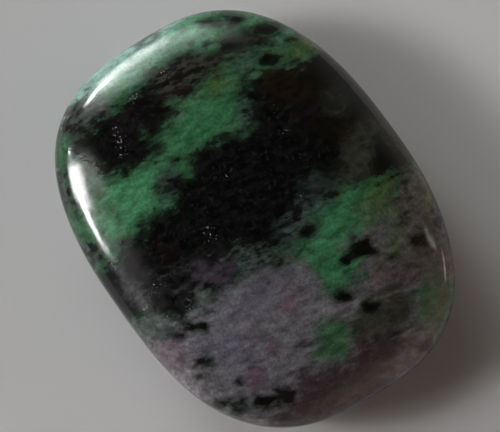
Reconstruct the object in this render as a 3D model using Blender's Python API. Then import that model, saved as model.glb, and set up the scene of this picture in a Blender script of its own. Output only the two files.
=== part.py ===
"""A pocket stone of ruby in zoisite: one flat, cushion-shaped pebble with domed faces and a round rim.

The long axis lies along X and the thickness along Z. The origin is on the table, under the middle of
the pebble's box, and inside the flat that the pebble rests on.
"""

import math

import bmesh
import bpy
from mathutils import Vector

# Driving dimensions, in metres
LENGTH = 0.0357  # along X, between the two blunt ends
WIDTH = 0.0274  # along Y, between the two long sides
RIM_THICKNESS = 0.0070  # the slab that the rim rounds off
TOP_CROWN = 0.0015  # how far the upper face domes above that slab
BELLY_CROWN = 0.0011  # how far the lower face domes below it
REST_CUT = 0.00012  # depth ground off the belly, which leaves the flat that it rests on

# Form of the outline and of the rim, as plain ratios
OUTLINE_SQUARENESS = 2.62  # superellipse exponent: 2 is an ellipse, and more is boxier
OUTLINE_SKEW = 0.016  # leans the blunt ends the same way round
RIM_SQUARENESS = 2.9  # superellipse exponent of the section through the rim

# Gentle waves that hand polishing leaves: height, and the direction they run in on X, Y and Z
WAVES = (
    (0.00007, (0.31, 0.12, 0.20), 0.6),
    (0.00006, (-0.14, 0.36, 0.15), 2.1),
    (0.00004, (0.42, -0.33, 0.40), 4.0),
)
WAVE_SCALE = 1000.0  # the wave directions count radians for each millimetre

# Mesh: how many strips each side of the starting cube is cut into
STRIPS = 24

NODE = "polished_stone"
GREEN_ZOISITE = (0.055, 0.190, 0.085, 1.0)
POLISH_ROUGHNESS = 0.12


def clear_scene():
    """Removes whatever the scene holds."""
    for obj in list(bpy.data.objects):
        bpy.data.objects.remove(obj)


def outline_radius(angle):
    """Distance from the middle to the widest line of the rim, in the direction of angle round Z."""
    along = abs(math.cos(angle)) / (LENGTH / 2)
    across = abs(math.sin(angle)) / (WIDTH / 2)
    n = OUTLINE_SQUARENESS
    radius = (along**n + across**n) ** (-1 / n)
    return radius * (1 + OUTLINE_SKEW * math.sin(2 * angle))


def polish_waves(point):
    """Height of the polishing waves at a point on the smooth form."""
    return sum(
        height * math.sin(WAVE_SCALE * Vector(direction).dot(point) + phase)
        for height, direction, phase in WAVES
    )


def pebble_point(direction):
    """The point of the pebble's surface that a unit direction from its middle stands for."""
    out = math.hypot(direction.x, direction.y)
    up = abs(direction.z)
    n = RIM_SQUARENESS
    reach = (out**n + up**n) ** (-1 / n)
    out, up = reach * out, reach * up
    crown = TOP_CROWN if direction.z > 0 else BELLY_CROWN
    height = (RIM_THICKNESS / 2 + crown * (1 - out**2)) * up
    angle = math.atan2(direction.y, direction.x)
    radius = outline_radius(angle) * out
    point = Vector(
        (
            radius * math.cos(angle),
            radius * math.sin(angle),
            math.copysign(height, direction.z),
        )
    )
    return point + direction * polish_waves(point)


def grind_rest_flat(mesh, level):
    """Cuts the belly off at a level and closes the cut with one flat face."""
    cut = bmesh.ops.bisect_plane(
        mesh,
        geom=mesh.verts[:] + mesh.edges[:] + mesh.faces[:],
        plane_co=(0, 0, level),
        plane_no=(0, 0, -1),
        clear_outer=True,
    )
    rim = [item for item in cut["geom_cut"] if isinstance(item, bmesh.types.BMEdge)]
    bmesh.ops.contextual_create(mesh, geom=rim)


def set_down(mesh):
    """Moves the pebble so that it rests on the table, with the middle of its box over the origin."""
    low, high = (
        Vector([pick(vert.co[axis] for vert in mesh.verts) for axis in range(3)])
        for pick in (min, max)
    )
    middle = (low + high) / 2
    bmesh.ops.translate(mesh, verts=mesh.verts[:], vec=(-middle.x, -middle.y, -low.z))


def make_stone(collection):
    """The whole pebble, one solid: a cube cut into strips, swollen to its form and ground flat below."""
    form = bmesh.new()
    bmesh.ops.create_cube(form, size=2)
    bmesh.ops.subdivide_edges(form, edges=form.edges[:], cuts=STRIPS - 1, use_grid_fill=True)
    for vert in form.verts:
        vert.co = pebble_point(vert.co.normalized())
    grind_rest_flat(form, min(vert.co.z for vert in form.verts) + REST_CUT)
    set_down(form)
    bmesh.ops.recalc_face_normals(form, faces=form.faces[:])

    mesh = bpy.data.meshes.new(NODE)
    form.to_mesh(mesh)
    form.free()
    mesh.shade_smooth()
    stone = bpy.data.objects.new(NODE, mesh)
    stone.data.materials.append(stone_material())
    collection.objects.link(stone)
    return stone


def stone_material():
    """Polished green zoisite."""
    material = bpy.data.materials.new("ruby_zoisite")
    material.use_nodes = True
    shader = material.node_tree.nodes["Principled BSDF"]
    shader.inputs["Base Color"].default_value = GREEN_ZOISITE
    shader.inputs["Roughness"].default_value = POLISH_ROUGHNESS
    shader.inputs["Metallic"].default_value = 0.0
    return material


def main():
    clear_scene()
    collection = bpy.data.collections.new("ruby_in_zoisite_stone")
    bpy.context.scene.collection.children.link(collection)
    make_stone(collection)


main()
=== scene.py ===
"""Dresses the pocket stone of ruby in zoisite.

One polished pebble of green zoisite, crossed by black hornblende bands and growing into grey-mauve ruby
rock at one end. Lengths are in metres unless a name ends in _MM.
"""

import math
from collections import namedtuple

import bpy
import numpy as np
from bpy.props import FloatProperty, FloatVectorProperty, IntProperty, PointerProperty
from mathutils import Matrix, Quaternion, Vector


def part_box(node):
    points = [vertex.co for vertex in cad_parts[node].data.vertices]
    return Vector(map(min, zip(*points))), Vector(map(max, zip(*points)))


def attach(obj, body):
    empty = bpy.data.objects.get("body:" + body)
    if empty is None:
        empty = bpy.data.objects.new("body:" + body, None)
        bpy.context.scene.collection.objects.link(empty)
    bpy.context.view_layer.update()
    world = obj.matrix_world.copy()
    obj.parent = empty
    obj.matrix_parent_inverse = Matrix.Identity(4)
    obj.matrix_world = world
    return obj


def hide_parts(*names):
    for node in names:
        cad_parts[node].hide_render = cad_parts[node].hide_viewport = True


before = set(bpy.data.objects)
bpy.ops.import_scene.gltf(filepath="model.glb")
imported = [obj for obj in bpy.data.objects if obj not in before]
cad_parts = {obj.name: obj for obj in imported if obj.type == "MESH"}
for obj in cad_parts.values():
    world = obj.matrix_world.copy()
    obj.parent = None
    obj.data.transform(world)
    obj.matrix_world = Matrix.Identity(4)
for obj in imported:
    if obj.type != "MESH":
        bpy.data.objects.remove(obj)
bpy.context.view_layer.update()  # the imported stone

bl_info = {
    "name": "Ruby in Zoisite Stone",
    "version": (1, 0, 0),
    "blender": (4, 5, 0),
    "location": "View3D > Sidebar > Stone",
    "description": "Models and finishes a polished pocket stone of ruby in zoisite",
    "category": "Add Mesh",
}

CAD_NODE = "polished_stone"
NODE_LOW, NODE_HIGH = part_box(CAD_NODE)
NODE_SIZE = NODE_HIGH - NODE_LOW
NODE_MIDDLE = (NODE_LOW + NODE_HIGH) / 2
MM = 1000.0  # millimetres in a metre

# Gentle waves left by hand polishing: height, the direction they run in on X, Y and Z in radians for
# each millimetre, and where they start
WAVES = (
    (0.00007, (0.31, 0.12, 0.20), 0.6),
    (0.00006, (-0.14, 0.36, 0.15), 2.1),
    (0.00004, (0.42, -0.33, 0.40), 4.0),
)
WELD = 1e-7  # points closer than this are one point where the belly is cut

# How far the bands slope along X and Y for each millimetre down, below the widest line of the rim, and how
# far they wander on the way
BAND_DIP = (0.84, -0.40)
WANDER_MM = 2.2
WANDER_SIZES_MM = (14.0, 9.0, 6.0, 4.0)  # from crest to crest, the largest first
WANDER_WAVES = 3  # of each size
WANDER_SUM = 2.0  # what they add up to, more or less
WANDER_SEED = 5

# The rock's fine grain: how far it runs round from the long axis, and how much longer than wide it is
GRAIN_TURN = math.radians(80)
GRAIN_STRETCH = 1.9

# Mineral patches as they show on the upper face, in millimetres along X and Y. Patches that meet the rim
# run on past it, because the bands go right through the stone.
PATCHES = {
    "aqua_rim_reflection": (
        # the upper-left rim: green under a painted reflection of the bright floor and the window's haze
        ((-14.3, -8.9), (-15.3, -6.8), (-15.8, -5.2), (-16.3, -3.8), (-16.5, -2.3), (-16.6, -0.6),
         (-16.6, 0.8), (-16.6, 2), (-16.8, 2.9), (-17, 3.7), (-18.5, 5.3), (-21.9, 0.2), (-20.8, -5.7),
         (-17.6, -10.2)),
    ),
    "milky": (
        # the pale corner
        ((-20, -6), (-16, -5.2), (-14.6, -3.4), (-14.8, -0.6), (-14.9, 2), (-14, 4), (-13.4, 5.2),
         (-14.6, 6), (-15.6, 5), (-16.8, 6.4), (-21, 5)),
        ((-14.6, 9.6), (-13.6, 10.4), (-13.4, 9.2), (-13.8, 8), (-14.4, 8.4)),
    ),
    "pewter_rim_reflection": (
        # the pale blue-grey past the upper-left highlight: a painted reflection of the window's haze
        ((-17.9, -0.6), (-18.2, 0.3), (-18.3, 1.5), (-17.6, 2), (-17, 1.4), (-17, 0.5), (-17.1, -0.3)),
    ),
    "emerald": (
        ((-9.8, 3), (-8.4, 3.9), (-6.9, 3.2), (-6.6, 1.2), (-7.2, -0.8), (-6.6, -3.4), (-8, -3.4),
         (-9.4, -1.8), (-9.8, 0.4)),
        ((3, 7.2), (4.8, 7.6), (5.6, 6.2), (5.2, 4.6), (3.2, 4.4), (2.8, 5.6)),
        ((5.4, 3), (7.4, 3.2), (8.6, 2.6), (7.8, 1.4), (5.6, 1.4)),
    ),
    "spring": (
        ((-8.2, -3.8), (-7, -4.6), (-5.4, -5.8), (-4.6, -7.4), (-4.8, -8.8), (-6.6, -10), (-8.4, -9.4),
         (-8.6, -7)),
        ((-2.4, -8.6), (-4.4, -9.6), (-4.6, -11.4), (-6.4, -12.4), (-7.6, -11), (-6, -9.4)),
        ((2.6, 8), (4.6, 9.6), (6.4, 7), (8, 5.4), (9.2, 4.4), (9, 1.8), (6.6, 0.9), (4.8, 1.4), (4.4, 2.8),
         (3.4, 4), (2.8, 6)),
    ),
    "leaf": (
        ((3, 12.6), (4.4, 12.8), (5.2, 10.8), (6.2, 9.8), (6.2, 8.4), (4.8, 7.8), (3.4, 8.6), (3, 10.4)),
        ((-10.6, 12.4), (-9, 12.4), (-8.4, 10.4), (-9.2, 9.4), (-10.2, 10.2)),
        ((-11.6, 3.6), (-10.2, 4.2), (-9.8, 2.8), (-10.8, 2)),
    ),
    "sage": (
        ((-12.2, 9.2), (-11, 9.4), (-10.4, 7), (-9.4, 6.2), (-9.2, 4.8), (-10.8, 4.6), (-11.8, 5),
         (-11.8, 7)),
        ((8, 5.2), (9.6, 4.9), (10, 3.6), (9.2, 3), (8.2, 3.8)),
        ((-7.6, 4.2), (-6.2, 3.6), (-6.2, 2.2), (-7.4, 3)),
    ),
    "ruby_rock": (
        # the grey-mauve end of the stone
        ((4.3, -1.3), (5.2, -0.2), (6.2, 0.9), (7.6, 1), (9, 0.7), (9.6, 1.2), (9.9, 2.6), (9.9, 3.6),
         (9, 4.9), (8.2, 5.2), (6.8, 5.2), (6.5, 6.6), (6.3, 8.4), (6, 10), (4.8, 11.2), (4.2, 12.6),
         (3.6, 16), (12, 20), (24, 14), (26, 0), (22, -14), (10, -19), (1.6, -16), (2.2, -12.8),
         (2.4, -10.6), (2.6, -8.8), (3.2, -7.4), (3.6, -5.4), (4, -3.4)),
    ),
    "haze": (
        # the brownish shoulder past the second green band
        ((6.6, 5.4), (8.6, 5.3), (9.9, 4.6), (10.6, 4.2), (11.2, 5), (11.8, 6.6), (13.2, 8.2), (13.4, 9.6),
         (15, 9.4), (17, 9), (15, 15), (6, 17), (4.4, 12.6), (5, 11), (6.2, 9.6)),
    ),
    "reseda": (
        ((5.6, 12.7), (5.8, 13.6), (7.3, 13.8), (8.7, 13.7), (8.5, 12.7), (7.8, 12.2), (6.9, 12.2)),
        ((6.2, 8.6), (6.1, 9.5), (6.7, 9.9), (7.2, 9.3), (7, 8.4)),
        ((7, 8.1), (7.1, 9), (8.2, 9), (9.4, 8.2), (10, 7.2), (9.2, 6.9), (7.9, 7.4)),
        ((4.2, 7.7), (4.4, 9), (5.2, 10.1), (6.1, 9.8), (6.5, 8.9), (6.6, 7.6), (6.4, 6.4), (5.7, 6.1),
         (4.7, 7)),
    ),
    "smoky": (
        # the deep brown glassy zone above the middle band
        ((-9.3, 7.3), (-8.8, 8.1), (-8, 9.4), (-7.8, 10.6), (-8.2, 12), (-8, 13.5), (-8, 17), (3.6, 17),
         (3.3, 12.4), (3.2, 11.4), (3.1, 10.4), (2.8, 9.4), (2.2, 8.4), (1.9, 7.4), (2.1, 6.4), (0.9, 6.2),
         (0, 5.5), (-3, 6.8), (-6, 6.2), (-8, 5.2), (-9, 5.6), (-9.2, 6.6)),
    ),
    "bramble": (
        # the broken-up neck of the end patch
        ((-12.1, 4.9), (-12.7, 4.6), (-13.3, 3.6), (-13.9, 3), (-14.3, 2.3), (-14.6, 1.2), (-14.5, 0),
         (-14.1, -1.2), (-13.4, -2), (-12.6, -1.8), (-11.9, -1.8), (-11.4, -0.7), (-11.6, 0.2),
         (-11.2, 1.1), (-11.6, 1.8), (-12.1, 2), (-12, 2.8), (-11.7, 3.8)),
        ((-13.4, 5.2), (-13.5, 6.4), (-13, 7.8), (-12.2, 9), (-11.4, 8.9), (-11.6, 7.4), (-11.9, 6.2),
         (-12.3, 5.1)),
    ),
    "forest": (
        ((-7.6, 10.1), (-7.7, 11.8), (-7, 12.8), (-6.4, 12.1), (-6.1, 10.7), (-6.7, 9.7)),
        ((-4.6, 11.8), (-4.1, 12.8), (-2.6, 12.8), (-1.9, 11.7), (-2.6, 11.2), (-3.6, 11.9)),
        ((-3, 8.6), (-2.6, 9.6), (-2, 9.2), (-1.6, 8.7), (-2.2, 8.1)),
        ((-0.2, 7.7), (0.3, 8.3), (1.2, 8), (1.3, 7.1), (0.5, 7.1)),
        ((0.6, 11.1), (0.5, 12.2), (2.1, 12.8), (3.6, 12.2), (3.5, 10.8), (2.6, 10), (1.6, 10.6)),
    ),
    "smoke_dim": (
        ((-5, 10.3), (-4.9, 11.4), (-4.1, 12), (-3, 11.7), (-2.4, 10.5), (-3.4, 9.5), (-4.4, 9.7)),
    ),
    "smoke_light": (
        ((-1.2, 10.6), (-1.3, 11.8), (0.5, 12), (2.2, 10.7), (2.7, 9.2), (1.6, 7.1), (0.6, 7.6),
         (-0.2, 8.4), (-0.5, 9.4)),
        ((-1.2, 12.5), (-0.4, 12.8), (0.6, 12.9), (1.8, 12.9), (3, 12.8), (4.2, 12.8), (3.8, 12.1),
         (2.6, 12.1), (1.4, 12.1), (0.2, 12.1), (-0.9, 12.1)),
    ),
    "chestnut": (
        ((-9.6, 6.7), (-8.6, 8.6), (-8.3, 9.9), (-7.6, 12), (-6.6, 12.6), (-5.9, 11.6), (-5.6, 9.3),
         (-5.4, 7.4), (-7.2, 6.5), (-8.7, 6)),
        ((-2.6, 9.3), (-1.8, 11), (-1, 10.6), (-0.5, 9.7), (-0.5, 8.6), (-1.6, 8.6)),
        ((4.3, 11.8), (4.6, 12.2), (5.1, 11.9), (4.9, 11.4)),
        ((5.3, 10.8), (5.6, 11.1), (6.1, 10.8), (5.7, 10.4)),
        ((7, 9.9), (7.3, 10.2), (7.8, 9.9), (7.6, 9.5)),
    ),
    "slate": (
        ((-13.6, -5), (-14.8, -5), (-16, -5.8), (-16.6, -6.8), (-16.4, -8.4), (-15.2, -9.8), (-13.8, -9.6),
         (-13.2, -8.8), (-13.3, -7)),
        ((-12.6, -10.9), (-11, -11.2), (-9, -11.7), (-8.4, -12.6), (-9.4, -15), (-13, -14)),
        ((-5.8, -12), (-4.6, -11.8), (-3.6, -12.4), (-4, -15), (-6.2, -15)),
        ((8.1, 12.4), (8.4, 12.9), (9.2, 13), (9.8, 12.2), (9.3, 11.8), (8.6, 11.9)),
    ),
    "olive": (
        ((11.8, 0.7), (11.3, 1.5), (11.2, 2.6), (11.2, 3.9), (11.3, 5.1), (11.7, 6.1), (12.5, 6.8),
         (13.6, 6.7), (14.4, 5.9), (14.7, 4.9), (14.8, 3.8), (14.6, 2.5), (14.2, 1.2), (13.5, 0.3),
         (12.7, 0.3)),
    ),
    "maroon": (
        ((15.2, 5.3), (16.2, 4.4), (16.8, 2), (18.5, 0.6), (20, -3), (18.5, -7), (16.5, -9.5), (14.6, -8.9),
         (14.2, -8), (14.6, -6.4), (13.6, -5.2), (12.8, -4.6), (13.4, -3.4), (14, -1.8), (14.2, -0.3),
         (13.6, 0.8), (13, 1.8), (14.4, 2.8), (14.9, 4.2)),
    ),
    "green_island": (
        ((11, 0.6), (12.2, 0.7), (13.2, 0.2), (13.9, -0.4), (13.9, -1.2), (13.3, -2.1), (12.6, -2.6),
         (12.2, -2.2), (11.3, -1.7), (10.9, -1), (10.8, -0.2)),
        ((13.6, 6.8), (12.9, 7.6), (12.6, 8.7), (13, 9.7), (14, 10.7), (15.9, 9.4), (16.2, 8.3),
         (16.1, 6.9), (15.2, 6.4), (14.3, 6.4)),
    ),
    "teal": (
        # the fringe between the middle band and the second green band
        ((0.3, 6.2), (1.2, 6.6), (2.1, 6.4), (2.5, 5.2), (2.4, 4.4), (3, 3.2), (3.4, 2.6), (3.6, 1.8),
         (3.4, 0.8), (3.9, 0.2), (4.6, -0.4), (5, -1.2), (4.2, -1.8), (4.1, -3.2), (3.8, -4.6), (3.2, -4.4),
         (2.4, -4.2), (1.4, -5), (0.6, -4.2), (1.4, -3), (2.2, -2), (2.8, -1), (2.8, 0), (1.9, 0.6),
         (1.6, 1.4), (1.8, 2.4), (1.4, 2.8), (0.2, 3.8), (-0.4, 5)),
        ((2.7, -6.9), (3.6, -6.5), (4.2, -6.8), (4.1, -8), (3.2, -8.4), (2.7, -7.9)),
        ((12.3, -9.9), (12.8, -9.6), (13, -10.3), (12.4, -10.7)),
        ((-8, 4.7), (-7.2, 4.9), (-6.3, 4.4), (-6.2, 3.6), (-7.4, 3.9)),
        ((-6.4, -3.9), (-5.4, -4), (-4.8, -4.6), (-5.9, -5.3), (-6.5, -4.8)),
        ((-1.9, -10.3), (-1.2, -10.2), (-1, -11.2), (-1.6, -11.8), (-2, -11.4)),
        ((3, -8.2), (2.8, -7.5), (3.2, -6.8), (3.8, -6.7), (4.1, -7.4), (3.7, -8.2)),
        ((0.8, 2.4), (0.7, 3.9), (1.8, 4.4), (2.8, 3.4), (3.7, 2), (3.7, 0.9), (2.9, 0.1), (1.8, 0.3),
         (1.3, 1.5)),
    ),
    "moss": (
        # the arrowhead
        ((7.1, 4.4), (6.8, 5), (6.7, 5.5), (6.9, 6), (6.9, 6.4), (7.3, 6.5), (7.7, 6.4), (8.1, 6.4),
         (8.5, 6.4), (8.3, 5.9), (8.1, 5.4), (8, 4.7), (8, 4.3), (7.9, 3.7), (7.6, 3.3), (7.3, 3.3),
         (7.1, 3.9)),
        ((-15.1, 6.8), (-15.8, 6), (-16.3, 5.1), (-15.8, 5.1), (-15.2, 5.8), (-14.8, 6.5)),
        ((-14.7, 7), (-15, 7.7), (-14.6, 8.6), (-14.1, 8.4), (-14, 7.6), (-14.3, 7)),
        ((-13, 7.7), (-13.1, 8.9), (-12.8, 9.9), (-12.3, 10.8), (-11.7, 10.4), (-11.8, 9.5), (-12.4, 8.9),
         (-12.7, 8.2)),
        ((-13.4, 5.4), (-13.2, 6.6), (-12.8, 7.6), (-12.3, 7.4), (-12.2, 6.4), (-12.4, 5.3)),
        ((-12, 7.6), (-11.8, 8.7), (-11.3, 8.7), (-11.5, 7.7)),
        ((-10.9, 10.2), (-10.4, 11.2), (-10.1, 11), (-10.5, 10.2)),
        ((-11.4, 8.4), (-11.1, 9), (-10.9, 8.8)),
        ((-10.6, 7.4), (-10.6, 8.1), (-9.7, 9.2), (-9.1, 8.8), (-9.4, 7.6), (-9.9, 6.9)),
        ((3.4, 3), (4.1, 3.3), (4.4, 2.6), (4.1, 1.7), (3.5, 1.9)),
        ((4.4, -0.5), (4.9, -0.6), (5, -1.3), (4.6, -1.5)),
        ((-15.1, 3.2), (-14.8, 3.8), (-14.5, 3.6), (-14.9, 3)),
        ((-14.3, 4.6), (-14, 4.9), (-13.9, 4.4), (-14.2, 4.2)),
        ((-7.3, -2.8), (-6.9, -2.7), (-6.8, -3.3), (-7.2, -3.4)),
        ((-6.3, -5.4), (-5.9, -5.5), (-5.8, -6.2), (-6.2, -6.1)),
        ((11.3, 2.9), (11.3, 3.3), (11.5, 3.8), (11.9, 4.2), (12.3, 4.2), (12.3, 3.5), (12.1, 3),
         (11.6, 2.8)),
        ((2.2, 6.4), (2.6, 6), (2.4, 4.8), (2.1, 5.2)),
        ((9.4, 1.2), (9.2, 1.6), (9.4, 2.1), (9.8, 2.5), (10.3, 2.8), (10.4, 2.5), (10.2, 1.7), (9.8, 1.2)),
        ((4.4, -10.3), (4.4, -9.8), (4.8, -9.3), (5.3, -9.3), (5.3, -9.7), (4.9, -10.2)),
        ((5, -9.2), (5, -8.7), (5.7, -8.5), (6, -8.7), (5.9, -9.3), (5.5, -9.4)),
        ((7.5, -11.3), (7.4, -10.4), (7.8, -9.7), (8.3, -9.7), (8.3, -10.6)),
        ((8.4, -11.7), (8.5, -11.3), (8.9, -10.7), (9.1, -10.8), (8.8, -11.4)),
        ((10.4, -9.3), (10.5, -8.7), (11, -8.8), (10.9, -9.2)),
        ((11, -11.7), (11.7, -10.3), (12.3, -9.3), (12.7, -9.6), (12.1, -10.4), (11.5, -11.5)),
        ((12.1, -10.7), (12.5, -10), (13, -10), (12.7, -10.6)),
        ((12.8, -8.9), (12.7, -8.1), (13.1, -7.4), (13.7, -6.7), (14.2, -7), (13.9, -7.7), (13.8, -8.3),
         (13.3, -8.8)),
        ((12.9, -7.1), (12.9, -6.6), (13.4, -6.2), (13.6, -6.9)),
    ),
    "bark": (
        ((8.9, 9.1), (8.7, 9.7), (8.8, 10.4), (9.2, 10.9), (9.8, 10.9), (10.1, 10.4), (9.9, 9.7),
         (9.4, 9.1)),
        ((9.1, 7), (9.4, 7.7), (9.8, 7.8), (9.7, 7.2), (9.3, 6.8)),
        ((11.7, -2), (11.5, -2.8), (11.2, -3.6), (11, -3.5), (11.2, -2.7), (11.4, -2.1)),
        ((8.3, 12.8), (9.2, 12.4), (9.2, 12), (8.6, 12)),
        ((16.5, 4.8), (16.3, 5.4), (16.5, 6.1), (17.1, 6.2), (17.3, 5.6), (17, 4.8)),
        ((4.4, -11.8), (4.4, -11.1), (4.8, -10.5), (5.4, -10.5), (5.1, -11.4)),
        ((13.4, -6.6), (13.8, -5.9), (14.5, -5.9), (14.7, -6.5), (14.2, -7)),
    ),
    "damson": (
        ((-5.1, 7.7), (-5.2, 8.6), (-4.7, 9), (-3.8, 8.5), (-3.6, 7.7), (-4.4, 7.3)),
        ((-2, -10.6), (-1.2, -10.5), (-1.1, -11.5), (-1.7, -11.8)),
    ),
    "ash_and_glow_reflection": (
        # pale grey near the lower-left rim: part grey mineral, part a painted reflection of a dim lamp's glow
        ((-2, -12), (-1.2, -11.6), (0.1, -11.5), (1.2, -11.5), (1.7, -12), (1, -12.3), (0.1, -12.5),
         (-1, -12.5)),
    ),
    "vein": (
        ((-0.5, -9.9), (0.1, -9.3), (0.4, -8), (0.5, -6.4), (0.9, -5.6), (0.8, -6.8), (0.7, -8.2),
         (0.2, -9.8)),
        ((1.6, -9.2), (2, -8.2), (2.4, -8.4), (2, -9.6)),
    ),
    "celadon": (
        ((1.5, -15), (1.9, -12.6), (2.6, -11.6), (3.6, -10.9), (4.5, -10.8), (4.6, -11.8), (3.9, -13.2),
         (3.2, -15)),
        ((10.6, -12.2), (11.5, -11.4), (12.6, -10.3), (13.2, -10.3), (12.6, -12), (11, -14)),
        ((6.2, 4.2), (5.8, 4.8), (5.8, 5.3), (6.3, 5.8), (6.5, 5.7), (6.5, 5), (6.9, 4.3), (6.9, 3.9)),
        ((2.8, -8), (2.9, -7.4), (3.3, -6.9), (3.9, -7), (4.1, -7.5), (3.8, -8), (3.3, -8.2)),
    ),
    "plum": (
        ((1.4, -7.2), (1.1, -6.7), (1.2, -6), (1.8, -5.2), (2.4, -4.5), (3.1, -4.4), (3.4, -4.8),
         (3.3, -5.5), (2.9, -6.4), (2.2, -7), (1.7, -7.3)),
        ((10.4, 6.4), (10.2, 7.2), (10.6, 7.8), (11.1, 7.5), (11.2, 6.8), (10.9, 6.2)),
        ((10.3, -6.9), (11.2, -6.7), (12.1, -7.5), (12.6, -8.5), (11.7, -8.6), (10.6, -7.8)),
        ((4.6, -10.4), (5.2, -10.6), (5, -11.6), (4.4, -11.8), (4.3, -11)),
    ),
    "pink": (
        ((9.7, -4.8), (10.3, -4.5), (10.7, -5), (10.6, -5.6), (10.1, -5.9), (9.7, -5.5)),
        ((8.4, -5.8), (8.9, -5.7), (9.1, -6.1), (8.6, -6.3)),
        ((7.8, -2), (8.4, -1.9), (8.6, -2.4), (8.1, -2.7)),
        ((10.5, -8.2), (10.4, -7.4), (11.2, -6.9), (12, -7.3), (12.4, -8.1), (11.8, -8.7)),
    ),
    "pale": (
        ((3.8, -12.4), (5, -11.2), (6.4, -10.2), (8.8, -11), (10.2, -12.2), (9, -15), (4, -16)),
    ),
    "lavender": (
        ((5, -0.2), (6.2, -0.6), (6.6, -2.4), (7.2, -4), (6.8, -6), (5.4, -6.2), (4.8, -4.2), (4.4, -2)),
        ((9.4, -6.2), (10.4, -6.4), (9.6, -8), (8, -9.8), (7.2, -11.6), (5.8, -10.8), (6.6, -8.6)),
        ((6.6, 8), (7.8, 8.2), (7.8, 6.9), (6.8, 6.8)),
    ),
    "rose": (
        ((6.4, -0.8), (8.2, -0.9), (8.8, -2.4), (7.6, -3), (6.6, -2.2)),
        ((3.6, -12.2), (4.6, -11), (6.8, -10.8), (7.6, -11.8), (6.4, -13.6), (3.6, -14.4)),
        ((9.8, 7.8), (11.2, 7.8), (12, 6.4), (11.4, 4.6), (10.2, 5), (9.8, 6.4)),
        ((12.8, 0.6), (15, 2), (15.4, 0.2), (14.2, -1.2)),
    ),
    "lagoon": (
        ((-0.2, 4.6), (0, 5.6), (0.7, 6.6), (1.5, 7), (2.1, 6.4), (2.1, 5.2), (1.8, 4), (1.1, 3.5),
         (0.3, 3.8)),
    ),
    "black": (
        # the middle band
        ((-8.9, 5.1), (-8, 5.9), (-7, 6.6), (-5.9, 6.9), (-5.1, 7.2), (-4.2, 7.6), (-3.3, 7.6), (-2.1, 7.3),
         (-1.8, 8.1), (-1.1, 8.5), (-0.3, 8.3), (0.2, 7.6), (0.8, 6.5), (0.2, 5.6), (-0.1, 4.8), (0.6, 4.1),
         (1.3, 3.4), (2, 3), (2.3, 2.1), (2, 1.1), (2.6, 0.4), (3.4, -0.1), (3.2, -1.1), (2.4, -2.1),
         (1.7, -2.9), (1.6, -3.8), (1, -4.6), (0.6, -5.4), (0.9, -6.2), (0.9, -7), (1.7, -7.6), (2.6, -7.9),
         (2.8, -8.6), (3.4, -9.3), (3.9, -9.8), (3.6, -10.3), (3, -10.9), (2.4, -11.2), (1.6, -11.4),
         (1.4, -12.4), (1, -14.5), (-2.6, -15), (-2.8, -12.6), (-2.9, -11.2), (-3.5, -10.6), (-3.8, -10),
         (-3.5, -9.1), (-4, -8.3), (-4, -7.1), (-4.1, -6.1), (-3.6, -5.5), (-4.3, -5), (-5, -4.8),
         (-5.8, -4.9), (-6.2, -4.2), (-5.6, -3.6), (-5.3, -2.8), (-5.7, -2.1), (-6.6, -1.5), (-6.4, -0.4),
         (-6.2, 0.4), (-6.6, 1), (-5.9, 2), (-5.5, 2.9), (-5.9, 3.5), (-6.6, 4.2), (-7.6, 4.5),
         (-8.4, 4.7)),
        # the end patch
        ((-13.7, -1.8), (-13, -1.2), (-12.1, -1.4), (-11, -1), (-10.3, -1.6), (-10, -2.4), (-10.1, -3.2),
         (-10.5, -4.3), (-10, -4.4), (-9.5, -3.8), (-8.9, -3.7), (-8.5, -4.6), (-8.7, -5.6), (-8.8, -6.7),
         (-9.2, -7.6), (-9.6, -8.4), (-10.7, -8.8), (-11.6, -9.2), (-12.5, -9.6), (-13.4, -9.2),
         (-13.6, -8.5), (-13.2, -7.6), (-13.7, -6.6), (-13.3, -5.6), (-13.1, -4.7), (-13.5, -3.6),
         (-13.7, -2.8)),
    ),
    "wine": (
        ((-12.8, -7), (-13.4, -5.8), (-13.2, -4.4), (-12.6, -3), (-11.6, -2.5), (-10.7, -3.3),
         (-10.5, -4.5), (-10.5, -5.9), (-11.2, -7.1), (-12.1, -7.5)),
        ((-12.2, 0.3), (-12, 1), (-11.4, 1.4), (-11.1, 1), (-11.5, 0.2)),
    ),
    "crimson": (
        ((-1.6, -7.9), (-1, -7.2), (-0.1, -7.7), (-0.4, -8.5), (-1, -8.8), (-1.6, -8.5)),
        ((-3, -8.2), (-2.6, -7.9), (-2.3, -8.3), (-2.6, -8.7)),
        ((-4.6, 7.6), (-4.2, 7.8), (-3.9, 7.6), (-4.2, 7.4)),
        ((-12.2, 0.8), (-11.9, 1), (-11.6, 0.5), (-11.9, 0.1)),
        ((-10.9, -8.4), (-10.4, -8.2), (-10.2, -8.7), (-10.8, -8.8)),
        ((-13.1, -2.7), (-12.9, -2.4), (-12.6, -2.7), (-12.9, -3.1)),
        ((13.2, -6), (13.8, -5.4), (14.7, -6.1), (14.4, -6.9), (13.6, -7)),
        ((9.1, 10.8), (9.8, 10.9), (9.8, 10), (9.3, 9.6)),
    ),
    "veined": (
        # where grey veins break the black up, and the neck under the middle band
        ((0.6, -4.2), (2, -4.2), (4, -4.4), (4.2, -6.4), (3.9, -8.4), (3.9, -9.4), (3.9, -10), (3.6, -10.4),
         (2.6, -11.4), (1.7, -12.4), (1.3, -15), (-3, -15), (-2.8, -12), (-1.6, -10.2), (-0.6, -8.8),
         (0, -6.6), (0.3, -5.4)),
    ),
    "chips_and_glints": (
        # bruised grains, whose white is partly painted glints of the window light
        ((-13.9, -2.4), (-13.5, -2.4), (-13.2, -3.2), (-13.6, -3.8), (-14, -3.4)),
        ((-12.4, -5.2), (-11.6, -5.2), (-9.8, -6.3), (-10, -6.8), (-11.6, -6.3), (-12.3, -5.9)),
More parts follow.
